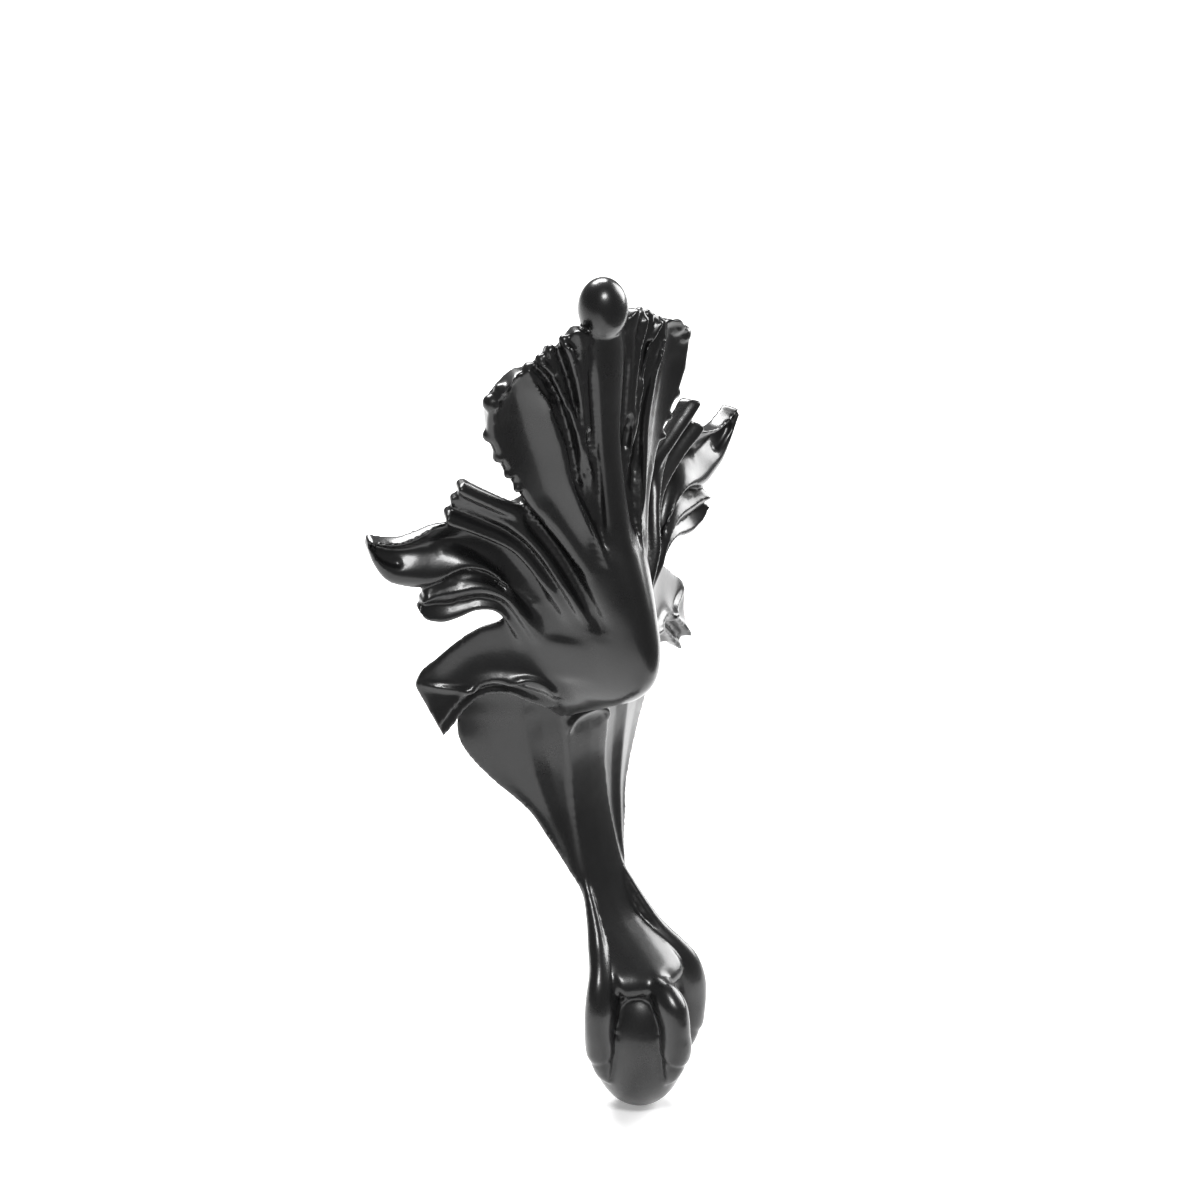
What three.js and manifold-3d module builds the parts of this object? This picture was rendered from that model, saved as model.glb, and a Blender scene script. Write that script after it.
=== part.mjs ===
// Claw and ball foot for a cast iron bath: one casting, hollow at the back.
// Millimetres, +Z up, the foot faces -Y. The floor point under the ball is the origin.
import * as THREE from 'three';
import { mergeVertices } from 'three/addons/utils/BufferGeometryUtils.js';
import Module from 'manifold-3d';

// Driving sizes.
const footHeight = 330;
const wingSpan = 170;
const kneeReach = 39.5;
const ballWidth = 36;
const ballHeight = 52;
const ballReach = 30.5;
const floorFlat = 7;
const eggWidth = 18.8;
const eggHeight = 24.4;
const wall = 6;
const leafWall = 3.7;
const legWall = 6.5;
const bandStep = 1.6;
const eggReach = 9;
const ribHeight = 3;
const toeWidth = 10.4;
const toeAngle = 82;
const seatWidth = 46;
const seatHeight = 22;
const seatDepth = 20;
const seatSetback = 14;
const seatLevel = 212;

// Outlines are drawn on the front view: hundredths of half the span, hundredths of the height.
const halfSpan = wingSpan / 2;
const across = (x) => (x / 100) * halfSpan;
const up = (z) => (z / 100) * footHeight;
const reach = (f) => (f / 100) * kneeReach;

// Forward reach against height, in hundredths of the knee: of the middle line, and of the plane of
// the wings where it crosses the middle. The knee swells between the two.
const crest = [
  [0, 80], [38, 3], [42.4, 4], [44.5, 16], [48.5, 66], [52.1, 93], [55.8, 100], [60, 92],
  [63.3, 81], [66.4, 69], [70.9, 49], [76.4, 34], [81.2, 28], [91.5, 29], [103, 24],
];
const wingLine = [
  [42.4, -3], [45.8, 0], [52.4, 3], [59.1, 12], [62.4, 15], [70, 15], [76.7, 22], [86.1, 25], [97, 21],
];
const wingSweep = 22;
const crestRound = 12;
const kneeSpread = 22;
const weld = 0.02;

// Smooth value of a list of [at, value] pairs.
function along(list, t) {
  const last = list.length - 1;
  if (t <= list[0][0]) return list[0][1];
  if (t >= list[last][0]) return list[last][1];
  const i = list.findIndex(([at]) => at > t) - 1;
  const slope = (k) => {
    const a = list[Math.max(k - 1, 0)];
    const b = list[Math.min(k + 1, last)];
    return (b[1] - a[1]) / (b[0] - a[0]);
  };
  const [t0, v0] = list[i];
  const [t1, v1] = list[i + 1];
  const h = t1 - t0;
  const s = (t - t0) / h;
  const rise = s * s * (3 - 2 * s);
  return v0 + (v1 - v0) * rise + h * s * (1 - s) * ((1 - s) * slope(i) - s * slope(i + 1));
}

// Forward reach of the carved front at a point of the front view.
function frontAt(x, z) {
  const level = (z / footHeight) * 100;
  const back = Math.tan(THREE.MathUtils.degToRad(wingSweep));
  const flat = reach(along(wingLine, level));
  const swell = (reach(along(crest, level)) - flat) * Math.exp(-((x / kneeSpread) ** 2));
  return flat + swell - back * (Math.hypot(x, crestRound) - crestRound);
}

// A point that stands off the carved front by a height, square to it, on either side of the middle.
function onFront(x, z, height, side) {
  const step = 0.5;
  const slopeX = (frontAt(x + step, z) - frontAt(x - step, z)) / (2 * step);
  const slopeZ = (frontAt(x, z + step) - frontAt(x, z - step)) / (2 * step);
  const lead = height / Math.hypot(slopeX, slopeZ, 1);
  return new THREE.Vector3(side * (x - slopeX * lead), ballReach - frontAt(x, z) - lead, z - slopeZ * lead);
}

// A closed body through rings of equal, even length. Each ring runs along its face and returns
// along its back, and the ends are closed across from face to back.
function loft(rings) {
  const count = rings[0].length;
  const index = [];
  for (let i = 0; i < rings.length - 1; i += 1) {
    for (let j = 0; j < count; j += 1) {
      const a = i * count + j;
      const b = i * count + ((j + 1) % count);
      index.push(a, b, b + count, a, b + count, a + count);
    }
  }
  const end = (rings.length - 1) * count;
  for (let j = 0; j < count / 2 - 1; j += 1) {
    const [a, b, c, d] = [j, j + 1, count - 2 - j, count - 1 - j];
    index.push(b, a, c, a, d, c);
    index.push(end + a, end + b, end + c, end + a, end + c, end + d);
  }
  const positions = rings.flat().flatMap((p) => [p.x, p.y, p.z]);
  const geometry = new THREE.BufferGeometry();
  geometry.setAttribute('position', new THREE.Float32BufferAttribute(positions, 3));
  geometry.setIndex(index);
  return geometry;
}

const wasm = await Module();
wasm.setup();

// A closed body from a geometry, turned right side out.
function solid(geometry) {
  geometry.deleteAttribute('normal');
  geometry.deleteAttribute('uv');
  const merged = mergeVertices(geometry, 1e-4);
  const vertProperties = Float32Array.from(merged.attributes.position.array);
  const triVerts = Uint32Array.from(merged.index.array);
  const p = new THREE.Vector3();
  const q = new THREE.Vector3();
  const r = new THREE.Vector3();
  let volume = 0;
  for (let i = 0; i < triVerts.length; i += 3) {
    p.fromArray(vertProperties, triVerts[i] * 3);
    q.fromArray(vertProperties, triVerts[i + 1] * 3);
    r.fromArray(vertProperties, triVerts[i + 2] * 3);
    volume += p.dot(q.cross(r));
  }
  if (volume < 0) {
    for (let i = 0; i < triVerts.length; i += 3) {
      [triVerts[i], triVerts[i + 1]] = [triVerts[i + 1], triVerts[i]];
    }
  }
  return new wasm.Manifold(new wasm.Mesh({ numProp: 3, vertProperties, triVerts }));
}

const rail = (points) => {
  const placed = points.map(([x, z]) => new THREE.Vector3(across(x), 0, up(z)));
  return new THREE.CatmullRomCurve3(placed, false, 'centripetal');
};

// A leaf between two outlines of the front view. Its face follows the front and the relief,
// which is a list of [place across, height]; its tip has the given scallops. Its back lies one
// leaf wall behind the front, and deeper along the middle where it has a spine.
function leaf({
  top, under, relief, steps, faces, lift,
  rise = 0.4, scallops = 0, tipRoll = 0, spine = 0, side = 1,
}) {
  const railA = rail(top);
  const railB = rail(under);
  const rings = [];
  for (let i = 0; i <= steps; i += 1) {
    const u = i / steps;
    const a = railA.getPointAt(u);
    const b = railB.getPointAt(u);
    const grow = THREE.MathUtils.smoothstep(u, 0, rise);
    const fall = tipRoll * THREE.MathUtils.smoothstep(u, 0.82, 1);
    const onward = railA.getTangentAt(u).add(railB.getTangentAt(u)).normalize();
    const face = [];
    const back = [];
    for (let k = 0; k <= faces; k += 1) {
      const s = k / faces;
      const x0 = THREE.MathUtils.lerp(a.x, b.x, s);
      const z0 = THREE.MathUtils.lerp(a.z, b.z, s);
      const bulge = scallops ? tipSwell(s, scallops, a.distanceTo(b)) * THREE.MathUtils.smoothstep(u, 0.7, 1) : 0;
      const x = x0 + onward.x * bulge;
      const z = z0 + onward.z * bulge;
      const height = lift * grow + along(relief, s) * ribHeight * grow - (1 - grow) * ribHeight - fall;
      face.push(onFront(x, z, height, side));
      back.push(onFront(x, z, -leafWall - spine * (1 - (2 * s - 1) ** 4), side));
    }
    rings.push([...face, ...back.reverse()]);
  }
  return loft(rings);
}

// Outward swell of a scalloped tip, largest in the middle of each scallop.
function tipSwell(s, scallops, width) {
  return (width / scallops) * 0.45 * Math.abs(Math.sin(Math.PI * scallops * s));
}

const leaves = [
  {
    // Large lobe of the fan.
    top: [[7, 64.5], [9.4, 69], [11.8, 72.7], [16, 76.4], [16.5, 80], [19, 85.8], [26, 89], [32, 90.6]],
    under: [[17.6, 60.6], [21, 64.2], [26.5, 68.5], [34, 73.6], [43.5, 78.2], [51, 81.8], [54, 84.5], [52, 87.3], [45.3, 89]],
    relief: [[0, 0.3], [0.12, 0.9], [0.5, -0.4], [0.85, 0.9], [1, 0.2]],
    steps: 12, faces: 6, lift: 2, scallops: 2, tipRoll: -2,
  },
  {
    // Small lobe beside the finial.
    top: [[9.4, 77.6], [11.2, 82.4], [13.5, 88], [16.5, 93]],
    under: [[14.7, 79.4], [18.4, 84.6], [24, 89], [30.5, 92]],
    relief: [[0, 0.2], [0.25, 1], [0.6, 0.1], [1, 0.4]],
    steps: 8, faces: 5, lift: 1.8, scallops: 2, tipRoll: -1,
  },
  {
    // Squared lobe at the head of the wing.
    top: [[10.6, 52], [13.3, 55.8], [18.7, 63], [26, 68.2], [35.5, 73], [43.5, 74.2], [52, 76], [60, 77.6]],
    under: [[15.3, 54], [21.2, 59], [27.6, 63], [35.6, 67], [45, 70.3], [54, 71.7], [66, 72.7]],
    relief: [[0, -0.6], [0.22, 1.1], [0.5, 0.1], [0.68, -0.1], [0.86, 0.9], [1, 0]],
    steps: 10, faces: 7, lift: 0.8, scallops: 3, tipRoll: -1,
  },
  {
    // Hooked lobe, the widest point of the casting.
    top: [
      [22.4, 58.2], [29.4, 62.7], [36.5, 66.7], [44.7, 70], [54, 71.8], [62.4, 72.5], [70.6, 72.5],
      [77.6, 71.7], [84.7, 71.2], [93, 71.6], [100, 72.3],
    ],
    under: [
      [27, 56.4], [34, 61], [42.4, 65], [51.2, 67], [60, 66.8], [66, 65.8], [70.6, 65], [76.5, 64.7],
      [83.5, 65.2], [90.6, 66], [96, 68.2], [100, 71],
    ],
    relief: [[0, -0.9], [0.35, -0.3], [0.8, 0.9], [1, 0]],
    steps: 13, faces: 5, lift: 0.6,
  },
  {
    // Lower lobe of the wing.
    top: [[23.5, 55.5], [29.4, 60.6], [37.6, 64.2], [50.6, 66.7], [60, 66.4], [68.2, 65.5], [74, 64]],
    under: [
      [30.6, 53.6], [36.5, 57], [42.4, 60], [46.5, 61], [54, 61], [61, 60.2], [67, 59.8], [73, 60.5], [76.5, 61.8],
    ],
    relief: [[0, -0.5], [0.2, 1.1], [0.45, 0.4], [0.8, 0.1], [1, 0.3]],
    steps: 10, faces: 6, lift: 0.8, scallops: 2,
  },
  {
    // Lowest leaf, over the arch of the skirt.
    top: [[17.6, 57], [30.6, 59.6], [42.5, 59.4], [52.9, 57.9], [60, 56.4], [66.5, 54.7], [72, 53.3], [74, 51.5]],
    under: [[12.9, 44.7], [20, 46], [28.2, 48.2], [38.8, 49.8], [47, 49.7], [54, 48.3], [60, 46.2], [63.5, 45.2]],
    relief: [[0, 0.2], [0.15, 0.5], [0.5, 0.1], [0.72, 0.9], [0.88, 0.2], [1, 0.7]],
    steps: 10, faces: 7, lift: 0.6, scallops: 2,
  },
];

// Half outline of the body that carries the leaves, from the lip over the leg to the finial.
const bodyEdge = [
  [13.5, 44.5], [21, 46.4], [29.4, 48.3], [38.8, 49.7], [43.5, 51.8], [44, 55.2], [43, 57.6], [42.5, 60],
  [48, 61.8], [55, 64], [58.8, 67], [57.6, 70], [49.4, 72], [37.6, 73], [34, 74.2], [35.3, 77],
  [41, 80.6], [43.5, 84.2], [38.8, 87.6], [27, 90], [13, 92.7],
];
const stemEdge = [[5.3, 57.6], [6.5, 63.6], [6.8, 67], [7.8, 71.5], [8.8, 77], [10.9, 83], [11.2, 89.7], [9.4, 94]];

function mirrored(points) {
  return points.map(([x, z]) => [-x, z]);
}

function body() {
  return leaf({
    top: mirrored(bodyEdge), under: bodyEdge,
    relief: [[0, -0.6], [0.06, -0.35], [0.5, -0.35], [0.94, -0.35], [1, -0.6]],
    steps: 15, faces: 12, lift: 0, spine: wall - leafWall,
  });
}

function stem() {
  return leaf({
    top: mirrored(stemEdge), under: stemEdge,
    relief: [[0, 0.2], [0.15, 0.7], [0.35, 0], [0.5, 1], [0.65, 0], [0.85, 0.7], [1, 0.2]],
    steps: 11, faces: 10, lift: 0.8, rise: 0.6,
  });
}

// Leg: height, half band, band reach, crease across, crease reach, skirt across, skirt reach,
// depth behind the face, further depth at the middle, taper of the back.
const leg = [
  [44.5, 9.5, 48.5, 15, 42, 18.5, 32, 12, 4, 0.7],
  [50, 10.5, 47, 15.5, 40.5, 18.5, 29, 9, 8, 0.65],
  [56, 10.8, 41.5, 15, 35, 17.5, 25.5, 8, 9, 0.6],
  [62, 10.4, 32.5, 13.5, 27.5, 15.5, 21.5, 7, 8, 0.6],
  [70, 9.8, 20.5, 11.5, 18, 12.3, 15.5, 6, 7, 0.6],
  [80, 8.8, 13.8, 10, 12, 10.8, 11, 5, 6, 0.6],
  [90, 8.5, 9.8, 11.5, 6.5, 13.8, 5, 5, 3, 0.75],
  [101, 8.2, 6, 13, 2, 18, 0, 6, 0, 0.86],
  [112, 8, 3.2, 15.5, -2.5, 23, -5, 6.5, 0, 0.88],
  [127, 8.2, 1.2, 20, -7, 35.3, -13.4, 6.5, 0, 0.88],
  [141, 9.4, 1.2, 24, -9, 44, -17, 6.5, 0, 0.88],
  [151, 10.5, 1.6, 25, -9, 44, -20, 6.5, 0, 0.88],
  [160, 11, 4, 25, -8, 41, -20, 6.5, 0, 0.88],
  [168, 11, 15, 24, -2, 38, -17, 6.5, 0, 0.88],
];
// The leg ends inside the body: heights of its last two rings.
const legTuck = [177, 190];

// The ring of half a face mirrored onto the other side, and of the back behind it.
function shellRing(half, z, depth, spine, taper) {
  const face = [...half.slice(1).reverse().map(([x, f]) => [-x, f]), ...half];
  const edge = half.at(-1)[0];
  const back = face.map(([x, f]) => [x * taper, f - depth - spine * (1 - Math.abs(x) / edge)]).reverse();
  return [...face, ...back].map(([x, f]) => new THREE.Vector3(x, ballReach - f, z));
}

function legRing([z, band, bandReach, crease, creaseReach, skirt, skirtReach, depth, spine, taper]) {
  const half = [
    [0, bandReach], [band * 0.55, bandReach - 0.3], [band, bandReach - 0.9],
    [band + 0.8, bandReach - bandStep - 0.9],
    [crease, creaseReach], [(crease + skirt) / 2, (creaseReach + skirtReach) / 2 - 0.8], [skirt, skirtReach],
  ];
  return shellRing(half, z, depth, spine, taper);
}

function tuckRing(z) {
  const half = [0, 6, 11, 17, 22, 27, 32].map((x) => [x, frontAt(x, z) - wall * 0.45]);
  return shellRing(half, z, legWall, 0, 0.88);
}

// A limb swept along a path: each stop is [x, forward from the ball's middle, height, half width, half depth].
function limb(stops, sides, steps) {
  const path = new THREE.CatmullRomCurve3(stops.map(([x, f, z]) => new THREE.Vector3(x, -f, z)));
  const size = (u, k) => along(stops.map((stop, i) => [i / (stops.length - 1), stop[k]]), u);
  const centre = new THREE.Vector3(0, 0, ballHeight / 2);
  const rings = [];
  for (let i = 0; i <= steps; i += 1) {
    const u = i / steps;
    const p = path.getPoint(u);
    const t = path.getTangent(u);
    const outward = p.clone().sub(centre).projectOnPlane(t).normalize();
    const sideways = new THREE.Vector3().crossVectors(t, outward).normalize();
    const ring = [];
    for (let k = 0; k < sides; k += 1) {
      const angle = (k / sides) * Math.PI * 2;
      ring.push(p.clone()
        .addScaledVector(sideways, Math.cos(angle) * size(u, 3))
        .addScaledVector(outward, Math.sin(angle) * size(u, 4)));
    }
    rings.push(ring);
  }
  return loft(rings);
}

const ballRadius = ballWidth / 2;
const toeHalf = toeWidth / 2;

function ball() {
  const profile = [new THREE.Vector2(0, 0)];
  const steps = 11;
  const start = Math.asin(floorFlat / ballWidth);
  for (let i = 0; i < steps; i += 1) {
    const angle = start + ((Math.PI - start) * i) / steps;
    const rise = (Math.cos(start) - Math.cos(angle)) / (Math.cos(start) + 1);
    profile.push(new THREE.Vector2(ballRadius * Math.sin(angle), rise * ballHeight));
  }
  profile.push(new THREE.Vector2(0, ballHeight));
  const lathe = new THREE.LatheGeometry(profile, 20);
  lathe.rotateX(Math.PI / 2);
  return lathe;
}

// The ankle's tendon runs over the top of the ball, down its side as a toe, and ends in a talon.
function toe(angle) {
  const turn = THREE.MathUtils.degToRad(angle);
  const sx = Math.sin(turn);
  const sf = Math.cos(turn);
  const r = ballRadius + toeHalf * 0.55;
  const at = (radius, z, wide, deep) => [radius * sx, radius * sf, z, wide, deep];
  const knuckle = ballHeight * 0.96;
  const root = sf > 0.5 ? [0, -4] : [r * 0.5 * sx, -13];
  return limb([
    [...root, knuckle + 20, toeHalf * 0.75, toeHalf * 0.6],
    at(r * 0.7, knuckle + 9, toeHalf * 0.9, toeHalf * 0.8),
    at(r * 0.98, knuckle, toeHalf * 1.15, toeHalf),
    at(r * 1.06, ballHeight * 0.75, toeHalf * 0.95, toeHalf * 0.9),
    at(r * 1.1, ballHeight * 0.58, toeHalf * 1.15, toeHalf),
    at(r * 1.02, ballHeight * 0.43, toeHalf * 0.85, toeHalf * 0.8),
    at(r * 0.87, ballHeight * 0.26, toeHalf * 0.35, toeHalf * 0.35),
  ], 8, 12);
}

function egg() {
  const shape = new THREE.SphereGeometry(1, 14, 10);
  shape.rotateX(Math.PI / 2);
  shape.scale(eggWidth / 2, eggWidth / 2, eggHeight / 2);
  const z = footHeight - eggHeight / 2;
  shape.translate(0, ballReach - eggReach, z);
  return shape;
}

// Knobs of the frilled rims: front view place, size and how far each stands forward.
const knobs = [
  [46.5, 87.8, 5.2, 2], [52.5, 83.5, 3, 1.5], [47.5, 80, 3, 1.5], [39.5, 76, 2.6, 1.5],
  [36, 90, 3, 2], [27, 92.4, 3, 2],
];

function knob([x, z, size, ahead], side) {
  const shape = new THREE.SphereGeometry(size, 7, 5);
  shape.translate(side * across(x), ballReach - frontAt(across(x), up(z)) - ahead, up(z));
  return shape;
}

// Lug across the hollow, with the flat face that seats on the bath.
function seat() {
  const lug = new THREE.BoxGeometry(seatWidth, seatDepth, seatHeight);
  lug.translate(0, ballReach + seatSetback - seatDepth / 2, seatLevel);
  return lug;
}

function build() {
  const shaft = loft([...leg.map(legRing), ...legTuck.map(tuckRing)]);
  const claw = [ball(), toe(0), toe(toeAngle), toe(-toeAngle)];
  const pieces = [body(), stem(), shaft, ...claw, egg(), seat()];
  for (const side of [1, -1]) {
    leaves.forEach((drawn) => pieces.push(leaf({ ...drawn, side })));
    knobs.forEach((drawn) => pieces.push(knob(drawn, side)));
  }
  return pieces.map(solid).reduce((sum, piece) => sum.add(piece));
}

// Joined bodies meet in slivers: points closer than the weld become one, and what collapses goes.
function welded(geometry) {
  const merged = mergeVertices(geometry, weld);
  const corners = merged.index.array;
  const kept = new Map();
  for (let i = 0; i < corners.length; i += 3) {
    const [a, b, c] = corners.slice(i, i + 3);
    if (a === b || b === c || c === a) continue;
    const key = [a, b, c].sort((m, n) => m - n).join();
    if (kept.has(key)) kept.delete(key);
    else kept.set(key, [a, b, c]);
  }
  merged.setIndex([...kept.values()].flat());
  return merged;
}

function toMesh(form, name, material) {
  const { vertProperties, triVerts } = form.getMesh();
  const raw = new THREE.BufferGeometry();
  raw.setAttribute('position', new THREE.BufferAttribute(new Float32Array(vertProperties), 3));
  raw.setIndex(new THREE.BufferAttribute(new Uint32Array(triVerts), 1));
  const geometry = welded(raw);
  geometry.computeVertexNormals();
  const mesh = new THREE.Mesh(geometry, material);
  mesh.name = name;
  return mesh;
}

const castIron = new THREE.MeshStandardMaterial({ color: 0x1b1b1c, roughness: 0.38, metalness: 0.15 });

const foot = new THREE.Group();
foot.name = 'claw_and_ball_foot';
foot.add(toMesh(build(), 'foot', castIron));

export default foot;
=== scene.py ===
import math

import bpy
import numpy as np
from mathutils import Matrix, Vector


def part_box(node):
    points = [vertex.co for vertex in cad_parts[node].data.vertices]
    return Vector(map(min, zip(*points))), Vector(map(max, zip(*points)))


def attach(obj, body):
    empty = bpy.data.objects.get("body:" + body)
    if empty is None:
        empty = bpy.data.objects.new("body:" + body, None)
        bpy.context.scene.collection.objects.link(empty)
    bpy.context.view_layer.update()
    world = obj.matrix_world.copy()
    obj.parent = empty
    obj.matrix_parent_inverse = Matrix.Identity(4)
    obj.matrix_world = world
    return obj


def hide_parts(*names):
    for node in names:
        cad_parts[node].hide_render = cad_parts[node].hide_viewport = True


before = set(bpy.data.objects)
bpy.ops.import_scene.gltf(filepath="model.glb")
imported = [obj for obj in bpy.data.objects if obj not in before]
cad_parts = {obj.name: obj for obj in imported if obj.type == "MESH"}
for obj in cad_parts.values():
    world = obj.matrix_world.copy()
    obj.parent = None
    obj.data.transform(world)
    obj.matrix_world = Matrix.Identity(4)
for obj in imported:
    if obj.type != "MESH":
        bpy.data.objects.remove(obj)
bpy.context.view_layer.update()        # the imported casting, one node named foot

footLow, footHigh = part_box("foot")
mm = 0.001

# Main sizes of the casting in millimetres. Outlines further down are drawn on the front view:
# hundredths of half the span, hundredths of the height.
casting = {
    "height": (footHigh[2] - footLow[2]) / mm,
    "halfSpan": 85.0,
    "kneeReach": 39.5,
    "ballReach": 30.5,      # from the plane of the wings to the middle of the ball
    "ballWidth": 36.0,
    "ballHeight": 52.0,
    "wingSweep": 22.0,      # degrees
    "crestRound": 12.0,
    "kneeSpread": 22.0,
    "wall": 5.0,
    "leafWall": 3.0,
    "ribHeight": 3.0,
}

# Forward reach against height, in hundredths of the knee: of the middle line, and of the wings.
crest = [
    (0, 80), (38, 3), (42.4, 4), (44.5, 16), (48.5, 66), (52.1, 93), (55.8, 100), (60, 92),
    (63.3, 81), (66.4, 69), (70.9, 49), (76.4, 34), (81.2, 28), (91.5, 29), (103, 24),
]
wingLine = [
    (42.4, -3), (45.8, 0), (52.4, 3), (59.1, 12), (62.4, 15), (70, 15), (76.7, 22), (86.1, 25), (97, 21),
]


def across(x):
    return np.asarray(x) / 100 * casting["halfSpan"]


def up(z):
    return np.asarray(z) / 100 * casting["height"]


# Smooth value of a list of (at, value) pairs.
def along(stops, t):
    at, value = np.array(stops, float).T
    last = len(at) - 1
    k = np.arange(len(at))
    below, above = np.maximum(k - 1, 0), np.minimum(k + 1, last)
    slope = (value[above] - value[below]) / (at[above] - at[below])
    t = np.clip(t, at[0], at[-1])
    i = np.clip(np.searchsorted(at, t, side="right") - 1, 0, last - 1)
    gap = at[i + 1] - at[i]
    s = (t - at[i]) / gap
    bend = gap * s * (1 - s) * ((1 - s) * slope[i] - s * slope[i + 1])
    return value[i] + (value[i + 1] - value[i]) * s * s * (3 - 2 * s) + bend


def easeIn(t, start, end):
    s = np.clip((t - start) / (end - start), 0, 1)
    return s * s * (3 - 2 * s)


# Forward reach of the carved front, for points of the front view.
def frontAt(x, z):
    level = z / casting["height"] * 100
    flat = along(wingLine, level) / 100 * casting["kneeReach"]
    swell = along(crest, level) / 100 * casting["kneeReach"] - flat
    aside = np.hypot(x, casting["crestRound"]) - casting["crestRound"]
    swept = math.tan(math.radians(casting["wingSweep"])) * aside
    return flat + swell * np.exp(-(x / casting["kneeSpread"]) ** 2) - swept


# Points that stand off the front by a height, square to it.
def onFront(x, z, height, side=1):
    step = 0.5      # millimetres over which the slope is read
    slopeX = (frontAt(x + step, z) - frontAt(x - step, z)) / (2 * step)
    slopeZ = (frontAt(x, z + step) - frontAt(x, z - step)) / (2 * step)
    lead = height / np.sqrt(slopeX ** 2 + slopeZ ** 2 + 1)
    y = casting["ballReach"] - frontAt(x, z) - lead
    return np.column_stack([side * (x - slopeX * lead), y, z - slopeZ * lead]) * mm


# A smooth line through outline points, read by the share of its length.
def rail(points):
    p = np.array([(float(across(x)), float(up(z))) for x, z in points])
    p = np.vstack([2 * p[0] - p[1], p, 2 * p[-1] - p[-2]])
    readings = 40       # of the line between two points
    w = np.linspace(0, 1, readings)[:, None]
    track = []
    for a, b, c, d in zip(p, p[1:], p[2:], p[3:]):
        ab, bc, cd = (math.sqrt(math.dist(m, n)) for m, n in ((a, b), (b, c), (c, d)))
        leave = ((b - a) / ab - (c - a) / (ab + bc) + (c - b) / bc) * bc
        arrive = ((c - b) / bc - (d - b) / (bc + cd) + (d - c) / cd) * bc
        track.append(b + leave * w + (-3 * b + 3 * c - 2 * leave - arrive) * w ** 2
                     + (2 * b - 2 * c + leave + arrive) * w ** 3)
    track = np.vstack(track)
    length = np.concatenate([[0], np.cumsum(np.hypot(*np.diff(track, axis=0).T))])
    length /= length[-1]
    return lambda u: np.column_stack([np.interp(u, length, value) for value in track.T])


def deselect():
    bpy.ops.object.select_all(action="DESELECT")


def choose(piece):
    deselect()
    piece.select_set(True)
    bpy.context.view_layer.objects.active = piece


def addModifier(piece, kind, **settings):
    modifier = piece.modifiers.new(kind.title(), kind)
    for name, value in settings.items():
        setattr(modifier, name, value)
    choose(piece)
    bpy.ops.object.modifier_apply(modifier=modifier.name)


# A grid whose points are put in place by a rule of (share across, share along).
def sheet(name, columns, rows, place):
    deselect()
    bpy.ops.mesh.primitive_grid_add(x_subdivisions=columns, y_subdivisions=rows, size=1)
    piece = bpy.context.object
    piece.name = name
    co = np.zeros(len(piece.data.vertices) * 3)
    piece.data.vertices.foreach_get("co", co)
    co = co.reshape(-1, 3)
    piece.data.vertices.foreach_set("co", np.asarray(place(co[:, 0] + 0.5, co[:, 1] + 0.5), float).ravel())
    piece.data.update()
    return piece


mergeDistance = 0.000002    # metres between points that are one


# A sheet rolled to a tube: its sides meet, and its two ends are closed.
def rolled(name, around, rows, place):
    piece = sheet(name, around, rows, place)
    choose(piece)
    bpy.ops.object.mode_set(mode="EDIT")
    bpy.ops.mesh.select_all(action="SELECT")
    bpy.ops.mesh.remove_doubles(threshold=mergeDistance)
    bpy.ops.mesh.fill_holes(sides=0)
    bpy.ops.mesh.normals_make_consistent(inside=False)
    bpy.ops.object.mode_set(mode="OBJECT")
    return piece


# How all leaves grow: shares of a leaf's length at which a form starts or ends.
leafGrowth = {
    "rise": 0.4,            # out of the body
    "bowEnd": 0.12,
    "tip": (0.55, 0.85),    # from the relief of the root to that of the tip
    "scallop": (0.7, 1),
    "scallopReach": 0.45,
    "flute": (0.45, 0.9),
    "roll": (0.82, 1),
    "step": 0.01,           # over which the direction is read
    "backEnd": 0.999,       # of the ring, which ends where it began, on the face
    "columns": 88,
    "rows": 90,
}
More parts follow.
